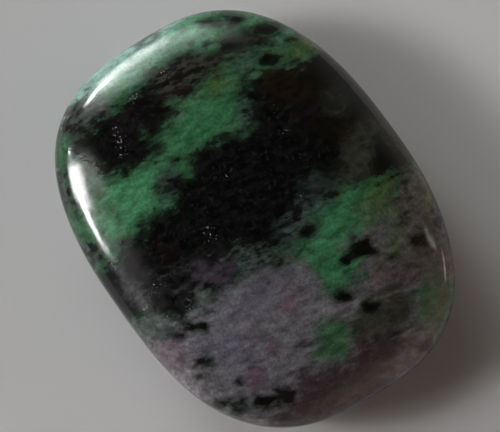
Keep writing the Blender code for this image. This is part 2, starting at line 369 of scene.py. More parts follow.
        ((-14.3, 0.6), (-13.7, 0.6), (-13.6, -0.4), (-14.2, -0.3)),
        ((-4.4, 5.9), (-3.8, 5.9), (-3.7, 5.4), (-4.3, 5.4)),
        ((-6.4, 6.4), (-6, 6.4), (-6, 5.9), (-6.4, 5.9)),
        ((-4.5, -1.6), (-4, -1.4), (-3.2, -0.3), (-3.5, -0.1), (-4.3, -1.1)),
        ((0.8, 3.9), (1.4, 3.9), (1.4, 3.3), (0.9, 3.3)),
        ((-0.9, 0.9), (-0.3, 0.9), (-0.3, 0.3), (-0.9, 0.3)),
        ((3, -8.7), (4.4, -8.9), (4.4, -9.5), (3.2, -9.4)),
        ((1.6, -12), (2.3, -12.1), (2.3, -12.8), (1.7, -12.8)),
        ((2.6, -10.8), (3.3, -10.8), (3.3, -11.5), (2.8, -11.5)),
        ((8.1, -0.3), (8.8, -0.3), (8.8, -0.8), (8.2, -0.8)),
        ((5.3, 5.6), (6.1, 5.4), (6, 4.8), (5.4, 4.9)),
        ((9.6, -5.6), (10.4, -5.4), (10.4, -6), (9.8, -6.1)),
        ((-15.2, 3.9), (-14.7, 3.9), (-14.7, 3.1), (-15.2, 3.1)),
        ((15.9, 3), (15.8, 3.7), (16.2, 3.7), (16.4, 3)),
        ((-0.5, -11.1), (0.4, -9.7), (1.2, -9.8), (0.6, -11.2)),
        ((2.8, -9), (3.1, -8.3), (4.1, -8.8), (4, -9.5)),
        ((4.2, 5.9), (4.1, 6.8), (4.7, 7), (5.1, 6)),
        ((-1.2, -4.6), (-0.9, -3.5), (0.4, -4), (0, -5.1)),
        ((1.6, -12.6), (2, -12.2), (2.3, -12.3), (2, -12.8)),
        ((2.7, -11.5), (3.2, -10.8), (3.6, -11), (3.2, -11.7)),
    ),
}

# One layer of a mineral: the patches that it fills, how far it spreads past them, its two colours, the
# size of the clouds that they mix in, half the width of its soft edge, the depth of that edge's ragged
# teeth (all in mm) and how much of what is under it it hides
Mineral = namedtuple("Mineral", "patches spread colour second cloud softness raggedness cover")

# The minerals, in the order in which they cover each other
MINERALS = (
    Mineral("milky", 0.0, (0.124, 0.34, 0.192), (0.082, 0.245, 0.128), 0.8, 1.2, 0.8, 0.9),
    # painted reflection: pale aqua over the green of the upper-left rim
    Mineral("aqua_rim_reflection", 0.1, (0.32, 0.5, 0.445), (0.235, 0.4, 0.345), 0.9, 0.6, 0.35, 0.9),
    Mineral("spring", 0.0, (0.074, 0.27, 0.128), (0.05, 0.188, 0.086), 0.8, 1.1, 0.8, 0.9),
    Mineral("emerald", 0.0, (0.028, 0.148, 0.06), (0.05, 0.17, 0.078), 1.0, 0.9, 0.7, 0.8),
    Mineral("leaf", 0.0, (0.078, 0.136, 0.036), (0.05, 0.106, 0.032), 0.8, 0.8, 0.6, 0.8),
    # painted reflection: the pale blue-grey haze past the upper-left highlight
    Mineral("pewter_rim_reflection", 0.0, (0.11, 0.125, 0.135), (0.05, 0.062, 0.066), 0.5, 0.6, 0.4, 0.85),
    Mineral("sage", 0.0, (0.048, 0.086, 0.056), (0.024, 0.052, 0.03), 0.7, 0.8, 0.6, 0.8),
    Mineral("ruby_rock", 0.3, (0.052, 0.072, 0.058), (0.072, 0.088, 0.076), 0.6, 0.8, 0.6, 0.8),
    Mineral("ruby_rock", 0.0, (0.176, 0.174, 0.194), (0.14, 0.135, 0.149), 0.8, 0.7, 0.55, 1.0),
    Mineral("haze", 0.0, (0.136, 0.128, 0.114), (0.096, 0.089, 0.08), 1.0, 0.9, 0.6, 1.0),
    Mineral("reseda", 0.0, (0.092, 0.138, 0.071), (0.073, 0.108, 0.056), 0.7, 0.8, 0.45, 0.85),
    Mineral("pale", 0.0, (0.31, 0.29, 0.31), (0.225, 0.208, 0.222), 0.8, 1.1, 0.6, 0.75),
    Mineral("lavender", 0.0, (0.12, 0.118, 0.158), (0.096, 0.092, 0.117), 0.8, 1.0, 0.6, 0.7),
    Mineral("rose", 0.0, (0.16, 0.1, 0.126), (0.122, 0.084, 0.098), 0.8, 0.9, 0.6, 0.6),
    Mineral("black", 0.5, (0.012, 0.03, 0.015), (0.024, 0.06, 0.03), 0.6, 0.9, 0.6, 0.95),
    Mineral("smoky", 0.4, (0.014, 0.024, 0.012), (0.024, 0.04, 0.02), 0.6, 0.7, 0.6, 0.9),
    Mineral("smoky", 0.1, (0.0045, 0.0042, 0.0028), (0.0095, 0.009, 0.0062), 0.5, 0.6, 0.5, 1.0),
    Mineral("chestnut", 0.0, (0.02, 0.0115, 0.0062), (0.006, 0.0045, 0.003), 0.5, 0.8, 0.55, 0.9),
    Mineral("smoke_dim", 0.1, (0.038, 0.039, 0.029), (0.018, 0.019, 0.014), 0.5, 0.8, 0.3, 0.95),
    Mineral("smoke_light", 0.1, (0.056, 0.058, 0.044), (0.04, 0.042, 0.032), 0.6, 1.0, 0.3, 1.0),
    Mineral("forest", 0.0, (0.0022, 0.0034, 0.0018), (0.005, 0.0064, 0.0034), 0.6, 0.8, 0.5, 0.9),
    Mineral("bramble", 0.45, (0.016, 0.027, 0.015), (0.03, 0.05, 0.03), 0.6, 0.8, 0.6, 0.9),
    Mineral("bramble", 0.0, (0.0035, 0.0028, 0.0024), (0.046, 0.044, 0.037), 0.45, 0.6, 0.5, 1.0),
    Mineral("slate", 0.0, (0.066, 0.082, 0.068), (0.006, 0.008, 0.007), 0.6, 0.7, 0.6, 1.0),
    Mineral("olive", 0.0, (0.049, 0.055, 0.03), (0.036, 0.04, 0.023), 0.8, 0.9, 0.5, 0.92),
    Mineral("maroon", 0.0, (0.062, 0.036, 0.046), (0.046, 0.03, 0.036), 1.3, 1.1, 0.6, 0.9),
    Mineral("green_island", 0.1, (0.04, 0.142, 0.056), (0.038, 0.112, 0.048), 0.7, 0.8, 0.4, 0.9),
    Mineral("teal", 0.35, (0.006, 0.0098, 0.009), (0.072, 0.092, 0.09), 0.4, 1.1, 0.5, 0.92),
    Mineral("lagoon", 0.0, (0.01, 0.017, 0.015), (0.024, 0.032, 0.029), 0.5, 0.6, 0.4, 0.9),
    Mineral("black", 0.05, (0.0011, 0.0011, 0.0011), (0.0068, 0.0068, 0.0065), 0.5, 0.75, 0.5, 1.0),
    Mineral("veined", 0.0, (0.0012, 0.0012, 0.0012), (0.013, 0.013, 0.0136), 0.6, 0.7, 0.5, 1.0),
    Mineral("wine", 0.0, (0.0125, 0.0095, 0.0102), (0.003, 0.0026, 0.0027), 0.6, 1.0, 0.5, 0.85),
    # part grey mineral, part a painted reflection of a dim lamp's glow
    Mineral("ash_and_glow_reflection", 0.05, (0.128, 0.124, 0.124), (0.07, 0.069, 0.069), 0.6, 0.75, 0.3, 0.9),
    Mineral("vein", 0.05, (0.05, 0.05, 0.05), (0.012, 0.013, 0.013), 0.5, 0.4, 0.3, 0.8),
    Mineral("celadon", 0.1, (0.105, 0.135, 0.118), (0.052, 0.072, 0.06), 0.6, 0.6, 0.45, 0.95),
    Mineral("plum", 0.05, (0.08, 0.06, 0.084), (0.04, 0.03, 0.043), 0.5, 0.85, 0.35, 0.85),
    Mineral("damson", 0.1, (0.016, 0.009, 0.017), (0.007, 0.005, 0.007), 0.6, 0.6, 0.35, 0.85),
    Mineral("pink", 0.0, (0.185, 0.108, 0.148), (0.12, 0.09, 0.112), 0.4, 0.5, 0.25, 0.8),
    Mineral("crimson", 0.0, (0.011, 0.002, 0.0032), (0.0055, 0.0016, 0.002), 0.4, 0.6, 0.3, 0.8),
    Mineral("moss", 0.14, (0.02, 0.034, 0.02), (0.034, 0.05, 0.03), 0.4, 0.6, 0.3, 0.7),
    Mineral("moss", 0.0, (0.0018, 0.0026, 0.0018), (0.0055, 0.007, 0.0042), 0.5, 0.34, 0.13, 1.0),
    Mineral("bark", 0.05, (0.0065, 0.004, 0.0034), (0.016, 0.01, 0.009), 0.6, 0.45, 0.14, 0.92),
)

# Edges of the fine flecks in the black, of the bruised grains whose white is partly painted glints, and of
# the hollows: the black wears a little deeper than the rest
Edge = namedtuple("Edge", "patches spread softness raggedness cover")
SCUFF_EDGE = Edge("black", -0.2, 0.5, 0.3, 0.9)
CHIP_GLINT_EDGE = Edge("chips_and_glints", 0.0, 0.25, 0.2, 1.0)
HOLLOW_EDGE = Edge("black", 0.0, 0.2, 0.32, 1.0)
SCUFF_COLOUR = (0.022, 0.022, 0.023)
# the bruised grains' pale, partly a painted glint
CHIP_GLINT_COLOUR = (0.20, 0.21, 0.20)

# The noises of the finish: scale, detail, roughness, distortion, and the two values of the noise between
# which its effect comes in
Noise = namedtuple("Noise", "scale detail roughness distortion low high", defaults=(0.0, 1.0))
ZOISITE_CLOUDS = Noise(0.6, 4.0, 0.60, 0.5, 0.40, 0.64)
ZOISITE_BLURS = Noise(1.3, 4.0, 0.60, 0.5, 0.48, 0.68)
MOTTLE = Noise(1.0, 3.0, 0.55, 0.0, 0.34, 0.66)  # its scale is changed to suit each mineral's clouds
FINE_GRAIN = Noise(4.5, 3.0, 0.60, 0.0, 0.25, 0.75)
BROAD_GRAIN = Noise(1.9, 2.0, 0.50, 0.0, 0.30, 0.70)
EDGE_STRANDS = Noise(1.7, 4.0, 0.56, 0.0)
SCUFFS = Noise(3.0, 2.0, 0.60, 0.0, 0.57, 0.72)
CHIP_GLINT_GRAINS = Noise(5.5, 1.0, 0.50, 0.0, 0.62, 0.72)
POLISH_HAZE = Noise(0.8, 3.0, 0.60, 0.0, 0.30, 0.70)
POLISH_RIPPLE = Noise(0.5, 2.0, 0.50, 0.0)
NOISE_MIDDLE = 0.5
NOISE_REACH = 7.0  # times a noise's usual distance from its middle makes about 1
BLUR_COVER = 0.85  # how much of the zoisite its dark blurs hide
GRAIN_SHADES = (0.66, 1.34)  # how dark and how light the grain makes a colour
HAZE_SHARES = (0.8, 1.3)  # of the polish's roughness, where it is clearest and where it is haziest
REFRACTION = 1.66  # index between hornblende's and zoisite's
HOLLOW_DEPTH_MM = 0.006
RIPPLE_HEIGHT_MM = 0.02
CHIP_DEPTH_MM = 0.008

# Where the stone lies in the picture, and the picture's size and scale
STONE_CENTRE_PX = (255.7, 217.2)
FRAME_WIDTH_PX, FRAME_HEIGHT_PX = 500, 432
PIXELS_PER_MM = 12.0
SENSOR_WIDTH_MM = 36
CAMERA_CLEARANCE = 0.01  # what is closer to the camera than this isn't seen

FLOOR_ROUGHNESS = 0.9
FLOOR_SHINE = 0.2

# The dim room: its colours overhead, on its walls and on the warm side, how high the walls fade out, how
# far the warm side lies below the picture's right, and the cosines of the angle from its middle between
# which the warmth comes in
ROOF = (0.014, 0.014, 0.014)
WALL = (0.130, 0.130, 0.129)
WARM_WALL = (0.520, 0.345, 0.245)
WALL_TOP = math.radians(50)
WARM_DROP = 0.5
WARM_FROM, WARM_FULL = 0.3, 1.0

# Window-like lamps: name, azimuth and elevation seen from the stone (0 is the picture's right, 90 its
# top), how far the lamp spans each way and how far it leans, all in degrees, its share of the lamp
# strength and its colour
LAMPS = (
    ("left_window", 181.5, 29, 16, 25, 0, 0.42, (1.0, 0.99, 1.0)),
    ("left_window_end", 190, 30, 22, 7.6, 4, 0.52, (1.0, 1.0, 1.0)),
    ("left_glint", 169.8, 22.5, 3.4, 5, 0, 0.75, (1.0, 1.0, 1.0)),
    ("left_haze", 185, 34, 42, 38, 0, 0.017, (1.0, 0.97, 0.97)),
    ("left_curtain", 175, 44, 14, 20, 0, 0.032, (1.0, 0.96, 0.97)),
    ("upper_left_window", 131.5, 21, 18.5, 7.4, 8, 0.60, (1.0, 1.0, 1.0)),
    ("upper_left_spill", 122.5, 18.5, 16, 27, 8, 0.15, (0.97, 1.0, 1.0)),
    ("upper_left_haze", 121.5, 25.5, 44, 35, 0, 0.056, (0.96, 1.0, 0.99)),
    ("top_haze", 98, 30, 26, 32, 0, 0.016, (0.97, 1.0, 1.0)),
    ("lower_left_glow", 208, 32, 14, 18, 0, 0.007, (1.0, 1.0, 1.0)),
    ("right_strip", 20.5, 27, 4.5, 13, -22, 0.042, (1.0, 0.95, 0.90)),
    ("right_strip_end", 10.5, 11.5, 14, 3.6, -4, 0.082, (1.0, 0.95, 0.90)),
    ("upper_right_haze", 32, 8, 62, 56, 0, 0.0012, (1.0, 1.0, 0.97)),
    ("warm_side", 330, 30, 90, 44, 0, 0.0064, (1.0, 0.74, 0.63)),
)
LAMP_DISTANCE = 2.0

# How far from its middle, in shares of its size, a lamp's face is dark, and how near it shines in full
LAMP_DARK, LAMP_FULL = 0.5, 0.18


def size_property(name, description, default, precision=4):
    return FloatProperty(
        name=name, description=description, default=default, unit="LENGTH", precision=precision
    )


def angle_property(name, description, degrees):
    return FloatProperty(
        name=name, description=description, default=math.radians(degrees), unit="ROTATION"
    )


def colour_property(name, description, default):
    return FloatVectorProperty(
        name=name, description=description, default=default, subtype="COLOR", min=0, max=1
    )


class StoneSettings(bpy.types.PropertyGroup):
    """Form and finish of the pebble"""

    length: size_property("Length", "Size along the long axis", NODE_SIZE.x)
    width: size_property("Width", "Size across the long axis", NODE_SIZE.y)
    rim_thickness: size_property("Rim Thickness", "Slab that the rim rounds off", 0.0070)
    top_crown: size_property("Top Crown", "How far the upper face domes above that slab", 0.0015)
    belly_crown: size_property("Belly Crown", "How far the lower face domes below that slab", 0.0011)
    rest_cut: size_property("Rest Cut", "Depth ground off the belly to leave its flat", 0.00012, precision=5)
    outline_squareness: FloatProperty(
        name="Outline Squareness", description="Superellipse exponent of the outline; 2 is an ellipse",
        default=2.62,
    )
    outline_skew: FloatProperty(
        name="Outline Skew", description="Leans the blunt ends the same way round", default=0.016
    )
    rim_squareness: FloatProperty(
        name="Rim Squareness", description="Superellipse exponent of the section through the rim", default=2.9
    )
    face_strips: IntProperty(
        name="Face Strips", description="Strips that each face is cut into, each way", default=160
    )
    rim_strips: IntProperty(name="Rim Strips", description="Strips round the rim", default=44)
    zoisite: colour_property("Zoisite", "Colour of the green zoisite", (0.032, 0.105, 0.045))
    zoisite_pale: colour_property("Pale Zoisite", "Colour of its milky clouds", (0.062, 0.160, 0.084))
    zoisite_deep: colour_property("Deep Zoisite", "Colour of its clear, dark blurs", (0.012, 0.036, 0.016))
    polish: FloatProperty(
        name="Polish Roughness", description="Roughness of the hand polish; lower is shinier", default=0.10,
        subtype="FACTOR", min=0, max=1,
    )


class StageSettings(bpy.types.PropertyGroup):
    """Floor, lamps, room and camera"""

    floor_colour: colour_property("Floor", "Colour of the plain floor", (0.70, 0.70, 0.70))
    floor_size: size_property("Floor Size", "Width of the floor", 1.6)
    camera_distance: size_property("Camera Distance", "From the camera to the middle of the stone", 0.25)
    camera_tilt: angle_property("Camera Tilt", "How far the camera leans from straight above the stone", 8)
    long_axis_turn: angle_property(
        "Long Axis Turn", "How far the long axis slopes down to the right in the picture", 56
    )
    lamp_strength: FloatProperty(
        name="Lamp Strength", description="Brightness of the window-like lamps", default=42.0
    )
    room_strength: FloatProperty(
        name="Room Strength", description="Brightness of the dim room", default=1.0
    )


def deselect_all():
    bpy.ops.object.select_all(action="DESELECT")


def make_active(obj):
    """Selects one object alone."""
    deselect_all()
    obj.select_set(True)
    bpy.context.view_layer.objects.active = obj


def points_of(obj):
    """The mesh's points as an array, a row for each."""
    points = np.empty(len(obj.data.vertices) * 3, np.float32)
    obj.data.vertices.foreach_get("co", points)
    return points.reshape(-1, 3).astype(float)


def set_points(obj, points):
    obj.data.vertices.foreach_set("co", points.astype(np.float32).ravel())
    obj.data.update()


# The pebble's form


def is_upright(direction):
    return abs(direction.z) > 0.9


def is_level(direction):
    return abs(direction.z) < 0.1


def select_edges(mesh, wanted):
    """Selects just the edges whose direction passes the test."""
    for edge in mesh.edges:
        start, end = (mesh.vertices[index].co for index in edge.vertices)
        edge.select = wanted((end - start).normalized())


def cut_block(settings):
    """A cube cut into fine strips on its two faces and coarser ones down its sides."""
    deselect_all()
    bpy.ops.mesh.primitive_cube_add(size=2)
    block = bpy.context.object
    for wanted, strips in ((is_upright, settings.rim_strips), (is_level, settings.face_strips)):
        bpy.ops.object.mode_set(mode="EDIT")
        bpy.ops.mesh.select_mode(type="EDGE")
        bpy.ops.mesh.select_all(action="DESELECT")
        bpy.ops.object.mode_set(mode="OBJECT")
        select_edges(block.data, wanted)
        bpy.ops.object.mode_set(mode="EDIT")
        bpy.ops.mesh.subdivide(number_cuts=strips - 1)
        bpy.ops.object.mode_set(mode="OBJECT")
    return block


def outline_radius(angle, settings):
    """Distance from the middle to the widest line of the rim, in the direction of angle round Z."""
    along = np.abs(np.cos(angle)) / (settings.length / 2)
    across = np.abs(np.sin(angle)) / (settings.width / 2)
    n = settings.outline_squareness
    radius = (along**n + across**n) ** (-1 / n)
    return radius * (1 + settings.outline_skew * np.sin(2 * angle))


def swell(points, settings):
    """Moves points of the cube out to the smooth form of the pebble, whose middle is at the origin."""
    directions = points / np.linalg.norm(points, axis=1)[:, None]
    out = np.hypot(directions[:, 0], directions[:, 1])
    up = np.abs(directions[:, 2])
    n = settings.rim_squareness
    reach = (out**n + up**n) ** (-1 / n)
    out, up = reach * out, reach * up
    crown = np.where(directions[:, 2] > 0, settings.top_crown, settings.belly_crown)
    height = (settings.rim_thickness / 2 + crown * (1 - out**2)) * up
    angle = np.arctan2(directions[:, 1], directions[:, 0])
    radius = outline_radius(angle, settings) * out
    form = np.stack(
        (radius * np.cos(angle), radius * np.sin(angle), np.copysign(height, directions[:, 2])), axis=1
    )
    waves = sum(crest * np.sin(MM * form @ np.array(direction) + start) for crest, direction, start in WAVES)
    return form + directions * waves[:, None]


def grind_rest_flat(stone, settings):
    """Cuts the belly off level and closes the cut with one flat face."""
    level = points_of(stone)[:, 2].min() + settings.rest_cut
    bpy.ops.object.mode_set(mode="EDIT")
    bpy.ops.mesh.select_all(action="SELECT")
    bpy.ops.mesh.bisect(
        plane_co=(0, 0, level), plane_no=(0, 0, -1), use_fill=True, clear_outer=True, threshold=WELD
    )
    bpy.ops.mesh.select_all(action="SELECT")
    bpy.ops.mesh.normals_make_consistent(inside=False)
    bpy.ops.object.mode_set(mode="OBJECT")


def fit_to_node(stone):
    """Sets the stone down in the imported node's box, stretched by hundredths of a millimetre to fill it."""
    points = points_of(stone)
    low, high = points.min(0), points.max(0)
    share = (points - low) / (high - low)
    set_points(stone, np.array(NODE_LOW) + share * np.array(NODE_SIZE))


def model_stone(settings):
    """The whole pebble: a cut block, swollen to its form, ground flat below and set down."""
    stone = cut_block(settings)
    stone.name = stone.data.name = "ruby_in_zoisite_stone"
    set_points(stone, swell(points_of(stone), settings))
    grind_rest_flat(stone, settings)
    fit_to_node(stone)
    make_active(stone)
    bpy.ops.object.shade_smooth()
    return stone


# The mineral pattern, kept on the surface as one attribute for each name in PATCHES


def wander(places):
    """A slow, smooth drift on X and Y for each place in millimetres, from a few seeded waves."""
    chance = np.random.default_rng(WANDER_SEED)
    drift = np.zeros((len(places), 2))
    for size_mm in WANDER_SIZES_MM:
        for _ in range(WANDER_WAVES):
            direction = chance.normal(size=3)
            direction *= 2 * math.pi / size_mm / np.linalg.norm(direction)
            push = chance.normal(size=2) * size_mm / WANDER_SIZES_MM[0]
            drift += np.sin(places @ direction + chance.uniform(0, 2 * math.pi))[:, None] * push
    return drift / WANDER_SUM


def pattern_points(points, settings):
    """Where each point of the surface lies on the drawn pattern, in millimetres.

    A point of the upper half lies straight under its place in the drawing. Deeper points follow the
    bands, which slope and wander on their way down.
    """
    half_rim = settings.rim_thickness / 2
    middle = float(NODE_LOW.z) + settings.belly_crown + half_rim - settings.rest_cut
    below = np.maximum(middle - points[:, 2], 0) * MM
    slope = below[:, None] * np.array(BAND_DIP)
    share = np.clip(below / (half_rim * MM), 0, 1)[:, None]
    return points[:, :2] * MM + slope + WANDER_MM * share * wander(points * MM)


def rounded(outline):
    """The outline with each corner cut off at a quarter of its two sides, as points in an array."""
    here = np.array(outline, float)
    following = np.roll(here, -1, axis=0)
    return np.stack((0.75 * here + 0.25 * following, 0.25 * here + 0.75 * following), 1).reshape(-1, 2)


def depth_inside(places, outline):
    """How far each place lies inside the outline; outside, it is the distance to it made negative."""
    nearest = np.full(len(places), np.inf)
    inside = np.zeros(len(places), bool)
    for start, end in zip(outline, np.roll(outline, -1, axis=0)):
        edge, reach = end - start, places - start
        share = np.clip(reach @ edge / (edge @ edge), 0, 1)
        gap = reach - share[:, None] * edge
        nearest = np.minimum(nearest, (gap**2).sum(1))
        crosses = (start[1] > places[:, 1]) != (end[1] > places[:, 1])
        rise = edge[1] if edge[1] else 1.0  # nothing crosses a level edge, so any rise does for it
        inside ^= crosses & (reach[:, 0] < edge[0] * reach[:, 1] / rise)
    return np.where(inside, 1, -1) * np.sqrt(nearest)


def draw_minerals(stone, settings):
    """Stores, for each name in PATCHES, how deep inside its patches each vertex lies, in millimetres."""
    places = pattern_points(points_of(stone), settings)
    for mineral, outlines in PATCHES.items():
        depth = np.max([depth_inside(places, rounded(outline)) for outline in outlines], axis=0)
        attribute = stone.data.attributes.new(mineral, "FLOAT", "POINT")
        attribute.data.foreach_set("value", depth.astype(np.float32))


# Shader nodes


def fill_sockets(tree, node, links):
    """Links a node's inputs to the sockets given, or gives them the values."""
    for place, value in links.items():
        if isinstance(value, bpy.types.NodeSocket):
            tree.links.new(value, node.inputs[place])
        else:
            node.inputs[place].default_value = value


def add(tree, kind, links=None, **settings):
    """A node with its properties set and its inputs filled."""
    node = tree.nodes.new("ShaderNode" + kind)
    for name, value in settings.items():
        setattr(node, name, value)
    fill_sockets(tree, node, links or {})
    return node


def new_group(name, inputs, outputs):
    """A shader node group whose sockets are given as names and kinds, and its input and output nodes."""
    tree = bpy.data.node_groups.new(name, "ShaderNodeTree")
    for side, sockets in (("INPUT", inputs), ("OUTPUT", outputs)):
        for label, kind in sockets.items():
            tree.interface.new_socket(label, in_out=side, socket_type="NodeSocket" + kind)
    return tree, tree.nodes.new("NodeGroupInput"), tree.nodes.new("NodeGroupOutput")


def noise(tree, vector, kind):
    """The value of one kind of noise."""
    links = {
        "Vector": vector, "Scale": kind.scale, "Detail": kind.detail, "Roughness": kind.roughness,
        "Distortion": kind.distortion,
    }
    return add(tree, "TexNoise", links).outputs["Fac"]


def calculate(tree, operation, a, b=0.0):
    return add(tree, "Math", {0: a, 1: b}, operation=operation).outputs[0]


def scaled(tree, vector, factor):
    return add(tree, "VectorMath", {0: vector, "Scale": factor}, operation="SCALE").outputs[0]


def remap(tree, value, low, high, to_low=0.0, to_high=1.0, smooth=True):
    """The value moved from one range to another, by default 0 to 1, and held at its ends."""
    links = {"Value": value, "From Min": low, "From Max": high, "To Min": to_low, "To Max": to_high}
    curve = "SMOOTHSTEP" if smooth else "LINEAR"
    return add(tree, "MapRange", links, interpolation_type=curve).outputs["Result"]


def effect(tree, vector, kind, to_low=0.0, to_high=1.0, smooth=True):
    """How far the effect of one kind of noise has come in."""
    return remap(tree, noise(tree, vector, kind), kind.low, kind.high, to_low, to_high, smooth)


def blend(tree, share, first, second):
    """The first colour under a share of the second; 6, 7 and 2 are the Mix node's sockets for colours."""
    return add(tree, "Mix", {"Factor": share, 6: first, 7: second}, data_type="RGBA").outputs[2]


def solid(colour):
    return (*colour, 1.0)


# The finish


def mineral_edge_group():
    """Turns a depth inside a patch into a mask whose edge is ragged and as soft as asked."""
    numbers = ("Teeth", "Depth", "Spread", "Softness", "Raggedness", "Cover")
    tree, ins, outs = new_group("Mineral Edge", dict.fromkeys(numbers, "Float"), {"Mask": "Float"})
    moved = calculate(tree, "MULTIPLY", ins.outputs["Teeth"], ins.outputs["Raggedness"])
    depth = calculate(tree, "ADD", ins.outputs["Depth"], ins.outputs["Spread"])
    share = calculate(tree, "DIVIDE", calculate(tree, "ADD", depth, moved), ins.outputs["Softness"])
    mask = calculate(tree, "MULTIPLY", remap(tree, share, -1.0, 1.0), ins.outputs["Cover"])
    tree.links.new(mask, outs.inputs["Mask"])
    return tree


def mottle_group():
    """Mixes two colours of one mineral in clouds, and shades them with the rock's fine grain."""
    inputs = {
        "Grain": "Vector", "Shade": "Float", "Cloud Size": "Float",
        "Colour": "Color", "Second Colour": "Color",
    }
    tree, ins, outs = new_group("Mineral Mottle", inputs, {"Colour": "Color"})
    scale = calculate(tree, "DIVIDE", 1.0, ins.outputs["Cloud Size"])
    share = effect(tree, ins.outputs["Grain"], MOTTLE._replace(scale=scale))
    colour = blend(tree, share, ins.outputs["Colour"], ins.outputs["Second Colour"])
    tree.links.new(scaled(tree, colour, ins.outputs["Shade"]), outs.inputs["Colour"])
    return tree


# What the parts of the finish share: their node tree, the coordinates in millimetres as they are and as
# they run along the grain, the teeth of the edges, the shade of the grain, and the two node groups
Rock = namedtuple("Rock", "tree place grain teeth shade edge mottle")


def rock_nodes(tree):
    """Sets out what the parts of the finish share."""
    place = scaled(tree, add(tree, "TexCoord").outputs["Object"], MM)
    turned = add(tree, "Mapping", {"Vector": place, "Rotation": (0, 0, -GRAIN_TURN)}).outputs[0]
    grain = add(tree, "Mapping", {"Vector": turned, "Scale": (1 / GRAIN_STRETCH, 1.0, 1.0)}).outputs[0]
    strands = noise(tree, grain, EDGE_STRANDS)
    teeth = calculate(
        tree, "MULTIPLY", calculate(tree, "SUBTRACT", strands, NOISE_MIDDLE), NOISE_REACH
    )
    fine = effect(tree, place, FINE_GRAIN, *GRAIN_SHADES, smooth=False)
    broad = effect(tree, grain, BROAD_GRAIN, *GRAIN_SHADES, smooth=False)
    shade = calculate(tree, "MULTIPLY", fine, broad)
    return Rock(tree, place, grain, teeth, shade, mineral_edge_group(), mottle_group())


def place_group(rock, group, links):
    return add(rock.tree, "Group", links, node_tree=group).outputs[0]


def mask_of(rock, kind):
    """Where the patches of a Mineral or an Edge lie."""
    links = {
        "Teeth": rock.teeth,
        "Depth": add(rock.tree, "Attribute", attribute_name=kind.patches).outputs["Fac"],
        "Spread": kind.spread,
        "Softness": kind.softness,
        "Raggedness": kind.raggedness,
        "Cover": kind.cover,
    }
    return place_group(rock, rock.edge, links)


def zoisite_colour(rock, settings):
    """Green zoisite: milky and clear clouds, drawn out along the grain, with darker blurs."""
    tree = rock.tree
    clouds = effect(tree, rock.grain, ZOISITE_CLOUDS)
    colour = blend(tree, clouds, solid(settings.zoisite), solid(settings.zoisite_pale))
    blurs = calculate(tree, "MULTIPLY", effect(tree, rock.grain, ZOISITE_BLURS), BLUR_COVER)
    return scaled(tree, blend(tree, blurs, colour, solid(settings.zoisite_deep)), rock.shade)


def lay_mineral(rock, colour, mineral):
    """The colour once one more mineral is laid over it."""
    mask = mask_of(rock, mineral)
    links = {
        "Grain": rock.grain,
        "Shade": rock.shade,
        "Colour": solid(mineral.colour),
        "Second Colour": solid(mineral.second),
        "Cloud Size": mineral.cloud,
    }
    return blend(rock.tree, mask, colour, place_group(rock, rock.mottle, links))


def flecks(rock, edge, kind):
    """Where a fine noise scatters flecks over some patches."""
    scattered = effect(rock.tree, rock.place, kind)
    return calculate(rock.tree, "MULTIPLY", mask_of(rock, edge), scattered)


def relief(rock, chips_and_glints):
    """Height of the polished surface in millimetres: hollowed black, slow ripples and dents under the bruised
    grains.
    """
    tree = rock.tree
    hollows = calculate(tree, "MULTIPLY", mask_of(rock, HOLLOW_EDGE), -HOLLOW_DEPTH_MM)
    ripples = calculate(tree, "MULTIPLY", noise(tree, rock.place, POLISH_RIPPLE), RIPPLE_HEIGHT_MM)
    dents = calculate(tree, "MULTIPLY", chips_and_glints, -CHIP_DEPTH_MM)
    return calculate(tree, "ADD", calculate(tree, "ADD", hollows, ripples), dents)


def polished_stone_material(settings):
    """Ruby in zoisite under a hand polish."""
    material = bpy.data.materials.new("polished_ruby_in_zoisite")
    material.use_nodes = True
    tree = material.node_tree
    rock = rock_nodes(tree)

    colour = zoisite_colour(rock, settings)
    for mineral in MINERALS:
        colour = lay_mineral(rock, colour, mineral)
    colour = blend(tree, flecks(rock, SCUFF_EDGE, SCUFFS), colour, solid(SCUFF_COLOUR))
    chips_and_glints = flecks(rock, CHIP_GLINT_EDGE, CHIP_GLINT_GRAINS)
    # the bruised grains show pale, partly as painted glints
    colour = blend(tree, chips_and_glints, colour, solid(CHIP_GLINT_COLOUR))

    shares = (settings.polish * share for share in HAZE_SHARES)
    roughness = effect(tree, rock.place, POLISH_HAZE, *shares, smooth=False)
    bump = add(tree, "Bump", {"Height": relief(rock, chips_and_glints), "Distance": 1.0 / MM, "Strength": 1.0})
    surface = {
        "Base Color": colour, "Roughness": roughness, "IOR": REFRACTION, "Normal": bump.outputs["Normal"]
    }
    fill_sockets(tree, tree.nodes["Principled BSDF"], surface)
    return material


class STONE_OT_pebble(bpy.types.Operator):
    """Model the pebble, draw its minerals on it and give it its polish"""

    bl_idname = "stone.pebble"
    bl_label = "Make Stone"

    def execute(self, context):
        settings = context.scene.stone_settings
        stone = model_stone(settings)
        draw_minerals(stone, settings)
        stone.data.materials.clear()
        stone.data.materials.append(polished_stone_material(settings))
        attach(stone, "root")
        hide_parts(CAD_NODE)
        return {"FINISHED"}


# The stage


def picture_axes(stage):
    """The picture's right and up directions, laid flat on the table."""
    turn = stage.long_axis_turn
    right = Vector((math.cos(turn), math.sin(turn), 0))
    up = Vector((-math.sin(turn), math.cos(turn), 0))
    return right, up


def make_floor(stage):
    deselect_all()
    bpy.ops.mesh.primitive_plane_add(size=stage.floor_size)
    floor = bpy.context.object
    floor.name = "floor"
    material = bpy.data.materials.new("plain_floor")
    material.use_nodes = True
    shader = material.node_tree.nodes["Principled BSDF"]
    shader.inputs["Base Color"].default_value = solid(stage.floor_colour)
    shader.inputs["Roughness"].default_value = FLOOR_ROUGHNESS
    shader.inputs["Specular IOR Level"].default_value = FLOOR_SHINE
    floor.data.materials.append(material)


